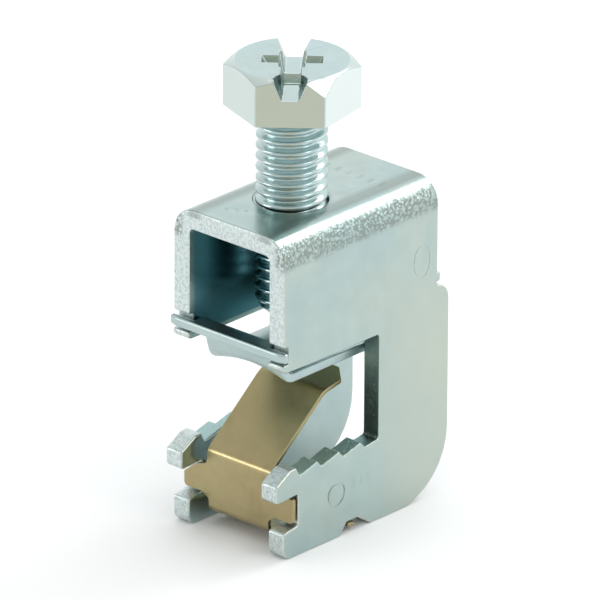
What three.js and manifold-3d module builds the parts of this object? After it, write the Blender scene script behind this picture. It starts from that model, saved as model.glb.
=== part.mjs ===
// Busbar terminal clamp: a bracket bent from thick sheet steel, a hexagon clamp screw, a pressure plate
// that hangs in the bracket, and a bronze leaf spring clipped between the bracket's arms.
// Millimetres, +Z up. The bar slot opens towards -Y, the spine stands at +Y, X runs across the sheet walls.
// The origin is the middle of the footprint, on the surface that the lower arms stand on.

import * as THREE from "three";
import { mergeVertices } from "three/addons/utils/BufferGeometryUtils.js";
import Module from "manifold-3d";

const wasm = await Module();
wasm.setup();

// ---------- driving dimensions ----------

const SHEET = 2.3; // bracket sheet
const OUT_X = 8.1; // half the bracket's outer width
const IN_X = OUT_X - SHEET; // half the clear width between the walls
const TOP_Z = 37.3; // upper face of the bracket's roof
const BEND_R = 2.9; // outer radius of the two roof bends
const BEND_INNER_R = 0.6;
const BACK_Y = 13.9; // back of the spine
const BOX_FRONT_Y = -12.75; // front of the conductor chamber
const BOX_BACK_Y = 12.0;
const BOX_LOW_Z = 21.9; // lower edge of the chamber walls
const STEP_Z = 24.75; // shoulder where the spine grows wider than the chamber
const STEP_R = 1.9;
const SLOT_BACK_Y = 2.55; // front edge of the spine, the bar's stop
const HEEL_R = 7.8; // large lower back corner

const ARM_SEAT_Z = 9.65; // arm's upper edge beside the spine
const TOOTH_TIP_Z = 10.1;
const TOOTH_ROOT_Z = 9.35;
const TOOTH_PITCH = 3.5;
const TOOTH_RUN = 0.65; // short steep side of a tooth
const TOOTH_COUNT = 3;
const FIRST_ROOT_Y = 0.45; // root of the tooth nearest the spine

const HOOK_FRONT_Y = -13.9;
const HOOK_RIDGE_Z = 10.35;
const HOOK_LOW_Z = 6.95;
const CATCH_TOP_Z = 7.2;
const CATCH_BACK_Y = -10.35; // back wall of the C-shaped catch between the two hooks
const LOWER_HOOK_TOP_Z = 3.5;
const LOWER_HOOK_Y = -12.7;
const TOE_R = 1.2;

const LUG_CATCH = { backY: -12.0, topZ: 24.95, lowZ: 22.95 }; // front catch for the pressure plate

const SCREW_Y = -2.8;
const THREAD_R = 3.92;
const THREAD_ROOT_R = 3.35;
const THREAD_PITCH = 1.25;
const HOLE_R = 4.2;
const COLLAR_R = 5.1; // drawn collar under the roof, which carries the thread
const COLLAR_DROP = 1.7;
const HEAD_FLAT = 13.0; // across the flats
const HEAD_Z = 48.0; // bearing face of the head
const HEAD_HEIGHT = 5.4;
const HEAD_TOP_R = 6.2;
const HEAD_TURN = THREE.MathUtils.degToRad(-49.7); // direction that the slot points in
const SLOT_FLOOR = { depth: 2.35, half: 0.92 };
const SLOT_TOP_HALF = 1.15;
const SLOT_FLARE = { half: 1.9, from: 4.6 }; // the slot widens where it leaves the head
const TIP_Z = 24.6;
const TIP_CHAMFER = 0.9;

const PLATE_T = 1.1; // pressure plate sheet
const PLATE_X = 5.5;
const PLATE_LUG_X = 8.4;
const PLATE_LUG_SLANT = { fromX: 7.4, tipY: -12.9 }; // front corners of the lugs are cut back
const PLATE_FRONT_Y = -13.2;
const PLATE_BACK_Y = 12.95;
const PLATE_FRONT_Z = 23.3; // underside of the front strip
const PLATE_BACK_Z = 24.95; // underside of the rear strip
const PLATE_FLOOR_Z = 18.9; // underside of the floor along its edges
const PLATE_ARCH = 0.9; // how much the floor's middle stands above its edges

const SPRING_T = 0.5;
const SPRING_X = 4.65; // half width of the leaf and of the lower tab
const SPRING_EAR_X = 8.0;
const SPRING_FRONT_Y = -11.15;
const CLIP_TOP_Z = 9.0; // the leaf starts 0.3 above this, at the top bend
const EAR_LOW_Z = 3.8;
const REAR_EAR_Y = -2.1; // the base strip is as wide as its rear ears behind this
const LEAF_START = { y: -10.7, z: 9.35 }; // upper surface of the leaf at the bend
const LEAF_LENGTH = 10.5;
const LEAF_RISE = THREE.MathUtils.degToRad(39);
const LEAF_TIP_LENGTH = 4.6;
const LEAF_TIP_RISE = THREE.MathUtils.degToRad(10);

const ARC_STEPS = 8;

// ---------- helpers ----------

const zinc = (colour, roughness) =>
  new THREE.MeshStandardMaterial({ color: colour, roughness, metalness: 1 });

function solid(geometry) {
  const bare = geometry.clone();
  bare.deleteAttribute("normal");
  bare.deleteAttribute("uv");
  const merged = mergeVertices(bare, 1e-5);
  return new wasm.Manifold(
    new wasm.Mesh({
      numProp: 3,
      vertProperties: new Float32Array(merged.attributes.position.array),
      triVerts: new Uint32Array(merged.index.array),
    }),
  );
}

function geometryOf(shape) {
  const mesh = shape.getMesh();
  const geometry = new THREE.BufferGeometry();
  geometry.setAttribute("position", new THREE.BufferAttribute(new Float32Array(mesh.vertProperties), 3));
  geometry.setIndex(new THREE.BufferAttribute(new Uint32Array(mesh.triVerts), 1));
  geometry.computeVertexNormals();
  return geometry;
}

function part(name, shape, material) {
  const mesh = new THREE.Mesh(geometryOf(shape), material);
  mesh.name = name;
  return mesh;
}

// A point list with rounded corners: each entry is [u, v] or [u, v, radius].
function rounded(points) {
  const shape = new THREE.Shape();
  const count = points.length;
  points.forEach(([u, v, radius = 0], index) => {
    const here = new THREE.Vector2(u, v);
    const before = new THREE.Vector2(...points[(index + count - 1) % count].slice(0, 2));
    const after = new THREE.Vector2(...points[(index + 1) % count].slice(0, 2));
    const toBefore = before.clone().sub(here).normalize();
    const toAfter = after.clone().sub(here).normalize();
    const half = Math.acos(THREE.MathUtils.clamp(toBefore.dot(toAfter), -1, 1)) / 2;
    const reach = radius / Math.tan(half);
    const start = here.clone().addScaledVector(toBefore, reach);
    const end = here.clone().addScaledVector(toAfter, reach);
    if (index === 0) {
      shape.moveTo(start.x, start.y);
    } else {
      shape.lineTo(start.x, start.y);
    }
    if (radius > 0) {
      const inward = toBefore.clone().add(toAfter).normalize();
      const centre = here.clone().addScaledVector(inward, radius / Math.sin(half));
      const from = Math.atan2(start.y - centre.y, start.x - centre.x);
      const to = Math.atan2(end.y - centre.y, end.x - centre.x);
      const turn = Math.atan2(Math.sin(to - from), Math.cos(to - from));
      for (let step = 1; step <= ARC_STEPS; step += 1) {
        const angle = from + (turn * step) / ARC_STEPS;
        shape.lineTo(centre.x + radius * Math.cos(angle), centre.y + radius * Math.sin(angle));
      }
    }
  });
  return shape;
}

const extruded = (shape, depth, steps = 1) =>
  new THREE.ExtrudeGeometry(shape, { depth, steps, bevelEnabled: false, curveSegments: ARC_STEPS });

// Outline in (Y, Z), extruded across X from -halfWidth to +halfWidth.
function acrossX(points, halfWidth, steps = 1) {
  const geometry = extruded(rounded(points), 2 * halfWidth, steps);
  geometry.applyMatrix4(new THREE.Matrix4().set(0, 0, 1, -halfWidth, 1, 0, 0, 0, 0, 1, 0, 0, 0, 0, 0, 1));
  return geometry;
}

// Outline in (X, Z), extruded along Y from y0 to y1.
function alongY(points, y0, y1) {
  const geometry = extruded(rounded(points), y1 - y0);
  geometry.applyMatrix4(new THREE.Matrix4().set(1, 0, 0, 0, 0, 0, -1, y1, 0, 1, 0, 0, 0, 0, 0, 1));
  return geometry;
}

// Outline in (X, Y), extruded up Z from z0 to z1.
function upZ(points, z0, z1) {
  const geometry = extruded(rounded(points), z1 - z0);
  geometry.translate(0, 0, z0);
  return geometry;
}

// Closed turned piece on the screw axis: profile is [radius, z] from the axis back to the axis.
function turned(profile, segments) {
  const geometry = new THREE.LatheGeometry(
    profile.map(([radius, z]) => new THREE.Vector2(radius, z)),
    segments,
  );
  geometry.rotateX(Math.PI / 2);
  geometry.translate(0, SCREW_Y, 0);
  return geometry;
}

const rectangle = (u0, v0, u1, v1) => [
  [u0, v0],
  [u1, v0],
  [u1, v1],
  [u0, v1],
];

// ---------- bracket ----------

function toothedEdge() {
  const points = [];
  for (let tooth = TOOTH_COUNT; tooth > 0; tooth -= 1) {
    const root = FIRST_ROOT_Y - TOOTH_PITCH * tooth;
    points.push([root, TOOTH_ROOT_Z, 0.25]);
    points.push([root + TOOTH_PITCH - TOOTH_RUN, TOOTH_TIP_Z, 0.25]);
  }
  points.push([FIRST_ROOT_Y, TOOTH_ROOT_Z, 0.25]);
  return points;
}

function bracketOutline() {
  return [
    [BOX_FRONT_Y, BOX_LOW_Z + 0.1, 0.7],
    [-7.4, BOX_LOW_Z],
    [SLOT_BACK_Y, BOX_LOW_Z, 0.35],
    [SLOT_BACK_Y, ARM_SEAT_Z, 0.4],
    ...toothedEdge().reverse(),
    [-10.6, HOOK_RIDGE_Z, 0.3],
    [-11.65, HOOK_RIDGE_Z, 0.5],
    [HOOK_FRONT_Y, 9.05, 0.4],
    [HOOK_FRONT_Y, HOOK_LOW_Z, 0.5],
    [CATCH_BACK_Y, CATCH_TOP_Z, 0.3],
    [CATCH_BACK_Y, LOWER_HOOK_TOP_Z + 0.05, 0.4],
    [LOWER_HOOK_Y, LOWER_HOOK_TOP_Z - 0.35, 0.4],
    [LOWER_HOOK_Y, 0, TOE_R],
    [-3.5, 0, 0.3],
    [-2.45, 1.35, 0.25],
    [-0.7, 1.35, 0.25],
    [1.4, 0, 0.3],
    [BACK_Y, 0, HEEL_R],
    [BACK_Y, STEP_Z, STEP_R],
    [BOX_BACK_Y, STEP_Z],
    [BOX_BACK_Y, TOP_Z],
    [BOX_FRONT_Y, TOP_Z],
    [BOX_FRONT_Y, LUG_CATCH.topZ, 0.3],
    [LUG_CATCH.backY, LUG_CATCH.topZ, 0.2],
    [LUG_CATCH.backY, LUG_CATCH.lowZ, 0.2],
    [BOX_FRONT_Y - 0.2, LUG_CATCH.lowZ, 0.3],
  ];
}

function bracket() {
  const section = [
    [-OUT_X, -1],
    [-IN_X, -1],
    [-IN_X, TOP_Z - SHEET, BEND_INNER_R],
    [IN_X, TOP_Z - SHEET, BEND_INNER_R],
    [IN_X, -1],
    [OUT_X, -1],
    [OUT_X, TOP_Z, BEND_R],
    [-OUT_X, TOP_Z, BEND_R],
  ];
  const folded = solid(alongY(section, HOOK_FRONT_Y - 1, BACK_Y + 1));
  const silhouette = solid(acrossX(bracketOutline(), OUT_X + 1));
  const roofUnder = TOP_Z - SHEET;
  const collar = turned(
    [
      [0, roofUnder - COLLAR_DROP],
      [COLLAR_R - 0.4, roofUnder - COLLAR_DROP],
      [COLLAR_R, roofUnder + 0.5],
      [0, roofUnder + 0.5],
    ],
    36,
  );
  const hole = turned(
    [
      [0, roofUnder - COLLAR_DROP - 1],
      [HOLE_R, roofUnder - COLLAR_DROP - 1],
      [HOLE_R, TOP_Z + 1],
      [0, TOP_Z + 1],
    ],
    36,
  );
  return folded.intersect(silhouette).add(solid(collar)).subtract(solid(hole));
}

// ---------- clamp screw ----------

function threadedShank() {
  const turns = Math.floor((HEAD_Z - 0.8 - TIP_Z - TIP_CHAMFER) / THREAD_PITCH);
  const profile = [
    [0, TIP_Z],
    [THREAD_ROOT_R - 0.3, TIP_Z],
    [THREAD_R - 0.2, TIP_Z + TIP_CHAMFER],
  ];
  for (let turn = 0; turn < turns; turn += 1) {
    const z = TIP_Z + TIP_CHAMFER + THREAD_PITCH * turn;
    profile.push([THREAD_ROOT_R, z + THREAD_PITCH * 0.45]);
    profile.push([THREAD_R, z + THREAD_PITCH * 0.9]);
    profile.push([THREAD_R, z + THREAD_PITCH]);
  }
  profile.push([THREAD_ROOT_R, HEAD_Z - 0.5]);
  profile.push([THREAD_ROOT_R, HEAD_Z + 1]);
  profile.push([0, HEAD_Z + 1]);
  return turned(profile, 32);
}

function clampScrew() {
  const top = HEAD_Z + HEAD_HEIGHT;
  const corner = HEAD_FLAT / Math.sqrt(3);
  const hexagon = [];
  for (let side = 0; side < 6; side += 1) {
    const angle = HEAD_TURN + Math.PI / 6 + (side * Math.PI) / 3;
    hexagon.push([corner * Math.cos(angle), SCREW_Y + corner * Math.sin(angle)]);
  }
  const coneDrop = (corner + 1 - HEAD_TOP_R) * Math.tan(Math.PI / 6);
  const chamfer = turned(
    [
      [0, HEAD_Z - 1],
      [corner + 1, HEAD_Z - 1],
      [corner + 1, top - coneDrop],
      [HEAD_TOP_R, top],
      [0, top],
    ],
    48,
  );
  const head = solid(upZ(hexagon, HEAD_Z, top)).intersect(solid(chamfer));

  const floor = top - SLOT_FLOOR.depth;
  const groove = (topHalf, y0, y1) => {
    const cutter = alongY(
      [
        [-topHalf, top + 0.1],
        [-SLOT_FLOOR.half, floor, 0.25],
        [SLOT_FLOOR.half, floor, 0.25],
        [topHalf, top + 0.1],
      ],
      y0,
      y1,
    );
    cutter.rotateZ(HEAD_TURN - Math.PI / 2);
    cutter.translate(0, SCREW_Y, 0);
    return solid(cutter);
  };

  // Cross recess: two tapered blades that meet over a deeper middle.
  const blade = (halfLength, halfWidth, depth) => {
    const wedge = new THREE.CylinderGeometry(Math.SQRT2, Math.SQRT2 * 0.62, depth + 0.1, 4, 1);
    wedge.rotateY(Math.PI / 4);
    wedge.rotateX(Math.PI / 2);
    wedge.scale(halfLength, halfWidth, 1);
    wedge.translate(0, 0, top + 0.05 - depth / 2);
    wedge.rotateZ(HEAD_TURN - Math.PI / 2);
    wedge.translate(0, SCREW_Y, 0);
    return solid(wedge);
  };
  return solid(threadedShank())
    .add(head)
    .subtract(groove(SLOT_TOP_HALF, -corner - 1, corner + 1))
    .subtract(groove(SLOT_FLARE.half, SLOT_FLARE.from, corner + 1))
    .subtract(groove(SLOT_FLARE.half, -corner - 1, -SLOT_FLARE.from))
    .subtract(blade(3.4, 1.1, 2.2))
    .subtract(blade(1.4, 2.2, 3.3));
}

// ---------- pressure plate ----------

// Closed outline of a bent strip: path points [y, z, bend radius] run along its underside.
function stripOutline(path, thickness) {
  const upper = path.map(([y, z, radius = 0], index) => {
    const normals = [];
    if (index > 0) {
      normals.push(new THREE.Vector2(path[index - 1][1] - z, y - path[index - 1][0]).normalize());
    }
    if (index < path.length - 1) {
      normals.push(new THREE.Vector2(z - path[index + 1][1], path[index + 1][0] - y).normalize());
    }
    const mean = normals.reduce((sum, normal) => sum.add(normal), new THREE.Vector2()).normalize();
    const reach = thickness / mean.dot(normals[0]);
    const inner = path[index][3] ?? radius;
    return [y + mean.x * reach, z + mean.y * reach, inner];
  });
  return [...path.map(([y, z, radius = 0]) => [y, z, radius]), ...upper.reverse()];
}

function pressurePlate() {
  const path = [
    [PLATE_FRONT_Y, PLATE_FRONT_Z],
    [-10.95, PLATE_FRONT_Z, 0.9, 2.0],
    [-9.75, PLATE_FLOOR_Z, 1.9, 0.8],
    [9.3, PLATE_FLOOR_Z, 1.9, 0.8],
    [10.3, PLATE_BACK_Z, 0.9, 2.0],
    [PLATE_BACK_Y, PLATE_BACK_Z],
  ];
  const arched = acrossX(stripOutline(path, PLATE_T), PLATE_LUG_X, 24);
  const position = arched.attributes.position;
  for (let index = 0; index < position.count; index += 1) {
    const across = Math.min(1, Math.abs(position.getX(index)) / PLATE_X);
    const lift = PLATE_ARCH * (1 - across * across);
    const depth = THREE.MathUtils.clamp((PLATE_FRONT_Z - position.getZ(index)) / 2.6, 0, 1);
    position.setZ(index, position.getZ(index) + lift * depth);
  }
  const lugBack = LUG_CATCH.backY - 0.25;
  const rearLugX = OUT_X - 0.4;
  const rearLugFront = BOX_BACK_Y + 0.25;
  const rightHalf = [
    [PLATE_LUG_SLANT.fromX, PLATE_FRONT_Y - 0.01, 0.6],
    [PLATE_LUG_X, PLATE_LUG_SLANT.tipY, 0.15],
    [PLATE_LUG_X, lugBack],
    [PLATE_X, lugBack],
    [PLATE_X, rearLugFront],
    [rearLugX, rearLugFront],
    [rearLugX, PLATE_BACK_Y + 1],
  ];
  const leftHalf = rightHalf.map(([x, y, radius = 0]) => [-x, y, radius]).reverse();
  const plan = [...rightHalf, ...leftHalf];
  return solid(arched).intersect(solid(upZ(plan, PLATE_FLOOR_Z - 1, PLATE_BACK_Z + 3)));
}

// ---------- leaf spring ----------

function springClip() {
  // Underside path: front plate from its top edge, front bend, base strip back to the rear ears.
  const path = [
    [SPRING_FRONT_Y, CLIP_TOP_Z],
    [SPRING_FRONT_Y, 1.75, 0.9, 0.4],
    [-0.95, 0.4],
  ];
  const strip = solid(acrossX(stripOutline(path, SPRING_T), SPRING_EAR_X));
  // Seen from the front: neck, ears that sit in the C-shaped catches, lower tab between the hooks.
  const ear = (side, topZ, shoulderX, shoulderZ) => [
    [side * SPRING_X, CLIP_TOP_Z + 1],
    [side * SPRING_X, 7.4, 0.5],
    [side * shoulderX, shoulderZ],
    [side * SPRING_EAR_X, topZ, 0.3],
    [side * SPRING_EAR_X, EAR_LOW_Z, 0.5],
    [side * 5.4, EAR_LOW_Z],
    [side * 4.4, EAR_LOW_Z - 0.5, 0.5],
    [side * 4.4, -1],
  ];
  const frontView = [...ear(1, 6.7, 6.1, 6.95), ...ear(-1, 5.5, 6.1, 6.95).reverse()];
  const frontPart = solid(alongY(frontView, SPRING_FRONT_Y - 1, REAR_EAR_Y));
  const earX = SPRING_EAR_X - 0.1;
  const rearEars = solid(upZ(rectangle(-earX, REAR_EAR_Y, earX, 0), -1, 3));
  return strip.intersect(frontPart.add(rearEars));
}

function springLeaf() {
  const along = ([y, z], distance, rise) => [
    y + distance * Math.cos(rise),
    z + distance * Math.sin(rise),
  ];
  const start = [LEAF_START.y, LEAF_START.z];
  const knee = along(start, LEAF_LENGTH, LEAF_RISE);
  const tip = along(knee, LEAF_TIP_LENGTH, LEAF_TIP_RISE);
  const path = [start, [...knee, 2.5], tip];
  const strip = solid(acrossX(stripOutline(path, -SPRING_T), SPRING_X));
  const plan = [
    [-SPRING_X, start[0] - 2],
    [SPRING_X, start[0] - 2],
    [SPRING_X, tip[0] - 1.8, 0.4],
    [2.8, tip[0] + 0.02, 0.5],
    [-2.8, tip[0] + 0.02, 0.5],
    [-SPRING_X, tip[0] - 1.8, 0.4],
  ];
  return strip.intersect(solid(upZ(plan, 0, TOP_Z)));
}

// ---------- assembly ----------

const brightZinc = zinc(0xc4cecc, 0.32);
const screwZinc = zinc(0xc8ccc2, 0.28);
const plateZinc = zinc(0xbccac9, 0.3);
const bronze = new THREE.MeshStandardMaterial({ color: 0xa3966e, roughness: 0.38, metalness: 1 });

const clamp = new THREE.Group();
clamp.add(part("bracket", bracket(), brightZinc));
clamp.add(part("clamp_screw", clampScrew(), screwZinc));
clamp.add(part("pressure_plate", pressurePlate(), plateZinc));
clamp.add(part("spring_clip", springClip(), bronze));
clamp.add(part("spring_leaf", springLeaf(), bronze));

export default clamp;
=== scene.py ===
"""Visual model of a busbar terminal clamp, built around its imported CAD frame.

The clamp is four pieces: a bracket bent from thick sheet steel, a hexagon screw with a slot and a
cross recess, a pressure plate that hangs in the bracket, and a bronze leaf spring.
All sizes are in metres, in the frame of the CAD model: +Z up, the jaw opens towards -Y.
"""

from __future__ import annotations

import logging
import math
from dataclasses import dataclass, field
from enum import Enum
from typing import Callable, Iterable, Sequence

import bmesh
import bpy
from mathutils import Matrix, Vector

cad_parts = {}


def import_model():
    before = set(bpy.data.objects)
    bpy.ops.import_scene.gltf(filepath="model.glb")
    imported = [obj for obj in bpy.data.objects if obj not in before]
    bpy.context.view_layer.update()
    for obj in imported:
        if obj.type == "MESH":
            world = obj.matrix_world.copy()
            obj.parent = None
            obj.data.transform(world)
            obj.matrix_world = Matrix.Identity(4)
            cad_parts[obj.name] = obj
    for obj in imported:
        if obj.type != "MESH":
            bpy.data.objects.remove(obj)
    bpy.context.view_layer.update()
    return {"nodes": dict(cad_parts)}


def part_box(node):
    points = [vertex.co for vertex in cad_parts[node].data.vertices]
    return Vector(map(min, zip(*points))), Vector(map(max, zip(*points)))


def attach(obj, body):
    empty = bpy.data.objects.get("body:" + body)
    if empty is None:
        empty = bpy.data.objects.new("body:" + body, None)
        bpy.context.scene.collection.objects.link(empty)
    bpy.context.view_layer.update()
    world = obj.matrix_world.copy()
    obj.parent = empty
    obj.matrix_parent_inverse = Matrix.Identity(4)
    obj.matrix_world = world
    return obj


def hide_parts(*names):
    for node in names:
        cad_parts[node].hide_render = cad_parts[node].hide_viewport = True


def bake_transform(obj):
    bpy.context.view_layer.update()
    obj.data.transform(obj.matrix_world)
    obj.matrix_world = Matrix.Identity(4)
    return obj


LOG = logging.getLogger("clamp")
MM = 0.001
WELD = 0.002 * MM  # vertices nearer than this are one
SLIVER = 0.004 * MM  # edges shorter than this are closed up
SHARP_TURN = math.radians(38)  # faces that turn by more than this keep a sharp edge

Colour = tuple[float, float, float, float]


class Slot(Enum):
    """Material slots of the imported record."""

    BRACKET = "zinc_bracket"
    SCREW = "zinc_screw"
    PLATE = "zinc_plate"
    SPRING = "spring_bronze"


class Body(Enum):
    """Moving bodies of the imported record."""

    FRAME = "frame"
    SCREW = "screw"
    PLATE = "plate"
    LEAF = "leaf"


# ---------------------------------------------------------------------------------------------
# Mesh helpers
# ---------------------------------------------------------------------------------------------


def mesh_object(name: str, bm: bmesh.types.BMesh) -> bpy.types.Object:
    """Turn a bmesh into a smooth-shaded object at the origin.

    Args:
        name: Name of the new object and of its mesh.
        bm: Finished bmesh; it is freed here.

    Returns:
        The linked object.
    """
    mesh = bpy.data.meshes.new(name)
    bm.to_mesh(mesh)
    bm.free()
    mesh.shade_smooth()
    obj = bpy.data.objects.new(name, mesh)
    bpy.context.scene.collection.objects.link(obj)
    return obj


def weigh_normals(obj: bpy.types.Object) -> None:
    """Keep large flat faces flat beside their rounded edges.

    Args:
        obj: Smooth-shaded object that gets the modifier.
    """
    modifier = obj.modifiers.new("flat_faces", "WEIGHTED_NORMAL")
    modifier.weight = 60
    modifier.keep_sharp = True


def copy_of_node(
    node: bpy.types.Object, flat_angle: float = math.radians(0.6)
) -> bmesh.types.BMesh:
    """Copy a CAD node, join its loose triangles and clear the edges inside its flat faces.

    Args:
        node: The CAD node's object, which stays as it is.
        flat_angle: Faces that meet at less than this are one flat face.

    Returns:
        The merged copy.
    """
    bm = bmesh.new()
    bm.from_mesh(node.data)
    bmesh.ops.remove_doubles(bm, verts=bm.verts, dist=WELD)
    bmesh.ops.dissolve_degenerate(bm, dist=SLIVER, edges=bm.edges)
    bmesh.ops.dissolve_limit(bm, angle_limit=flat_angle, verts=bm.verts, edges=bm.edges)
    return bm


def round_edges(
    bm: bmesh.types.BMesh,
    offset: float,
    segments: int = 3,
    sharper_than: float = math.radians(40),
    keep: Callable[[bmesh.types.BMEdge], bool] = lambda edge: True,
) -> None:
    """Round the sharp edges of a solid.

    Args:
        bm: The solid.
        offset: Distance from the edge to where the rounding starts.
        segments: Number of faces across the rounding.
        sharper_than: Only edges whose faces turn by more than this are rounded.
        keep: Further test that an edge has to pass.
    """
    bm.normal_update()
    edges = [
        edge
        for edge in bm.edges
        if len(edge.link_faces) == 2 and edge.calc_face_angle(0.0) > sharper_than and keep(edge)
    ]
    bmesh.ops.bevel(
        bm,
        geom=edges,
        offset=offset,
        offset_type="OFFSET",
        segments=segments,
        profile=0.5,
        affect="EDGES",
        clamp_overlap=False,
        loop_slide=True,
        material=-1,
    )


def ring(
    outer: tuple[float, float],
    inner: tuple[float, float],
    low: float,
    high: float,
    steps: int = 64,
) -> bmesh.types.BMesh:
    """Make a closed ring around the Z axis.

    Args:
        outer: Outer half sizes along X and Y.
        inner: Inner half sizes along X and Y.
        low: Height of the underside.
        high: Height of the upper side.
        steps: Number of parts around the ring.

    Returns:
        The ring.
    """
    bm = bmesh.new()
    # The section is spun between radius 1 and 2; each vertex then takes its own half sizes.
    section = ((1.0, low), (2.0, low), (2.0, high), (1.0, high))
    verts = [bm.verts.new((radius, 0.0, height)) for radius, height in section]
    edges = [bm.edges.new((verts[index - 1], verts[index])) for index in range(4)]
    bmesh.ops.spin(
        bm,
        geom=[*verts, *edges],
        cent=(0.0, 0.0, 0.0),
        axis=(0.0, 0.0, 1.0),
        dvec=(0.0, 0.0, 0.0),
        angle=2 * math.pi,
        steps=steps,
        use_merge=True,
    )
    for vert in bm.verts:
        flat = vert.co.xy
        half = outer if flat.length > 1.5 else inner
        flat.normalize()
        vert.co.xy = (flat.x * half[0], flat.y * half[1])
    bmesh.ops.recalc_face_normals(bm, faces=bm.faces)
    return bm


def cut(target: bpy.types.Object, cutter: bpy.types.Object, operation: str = "DIFFERENCE") -> None:
    """Combine a mesh with a cutter for good, and delete the cutter.

    Args:
        target: Object whose mesh changes.
        cutter: Closed solid to combine it with.
        operation: Name of the boolean operation.
    """
    modifier = target.modifiers.new("cut", "BOOLEAN")
    modifier.operation = operation
    modifier.solver = "EXACT"
    modifier.object = cutter
    graph = bpy.context.evaluated_depsgraph_get()
    mesh = bpy.data.meshes.new_from_object(target.evaluated_get(graph))
    target.modifiers.clear()
    old = target.data
    target.data = mesh
    mesh.name = target.name
    bpy.data.meshes.remove(old)
    used = cutter.data
    bpy.data.objects.remove(cutter)
    bpy.data.meshes.remove(used)


def filleted(points: Sequence[tuple[float, ...]], steps: int = 6) -> list[Vector]:
    """Round the corners of a closed outline.

    Args:
        points: Corners as (u, v) or (u, v, radius).
        steps: Number of chords in each rounded corner.

    Returns:
        The outline's points.
    """
    outline: list[Vector] = []
    count = len(points)
    for index, point in enumerate(points):
        here = Vector(point[:2])
        radius = point[2] if len(point) > 2 else 0.0
        if radius <= 0.0:
            outline.append(here)
            continue
        to_before = (Vector(points[index - 1][:2]) - here).normalized()
        to_after = (Vector(points[(index + 1) % count][:2]) - here).normalized()
        half = to_before.angle(to_after) / 2
        reach = radius / math.tan(half)
        centre = here + (to_before + to_after).normalized() * (radius / math.sin(half))
        first = here + to_before * reach - centre
        last = here + to_after * reach - centre
        turn = first.angle_signed(last)
        for step in range(steps + 1):
            outline.append(centre + Matrix.Rotation(-turn * step / steps, 2) @ first)
    return outline


def extruded(outline: Iterable[Vector], height: float) -> bmesh.types.BMesh:
    """Raise a flat outline into a prism along +Z.

    Args:
        outline: Corners of the outline, which lies at height 0.
        height: Height of the prism.

    Returns:
        The prism.
    """
    bm = bmesh.new()
    base = bm.faces.new([bm.verts.new((p.x, p.y, 0.0)) for p in outline])
    raised = bmesh.ops.extrude_face_region(bm, geom=[base])
    top = [item for item in raised["geom"] if isinstance(item, bmesh.types.BMVert)]
    bmesh.ops.translate(bm, verts=top, vec=(0.0, 0.0, height))
    bmesh.ops.recalc_face_normals(bm, faces=bm.faces)
    return bm


# ---------------------------------------------------------------------------------------------
# Shader node groups
# ---------------------------------------------------------------------------------------------


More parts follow.
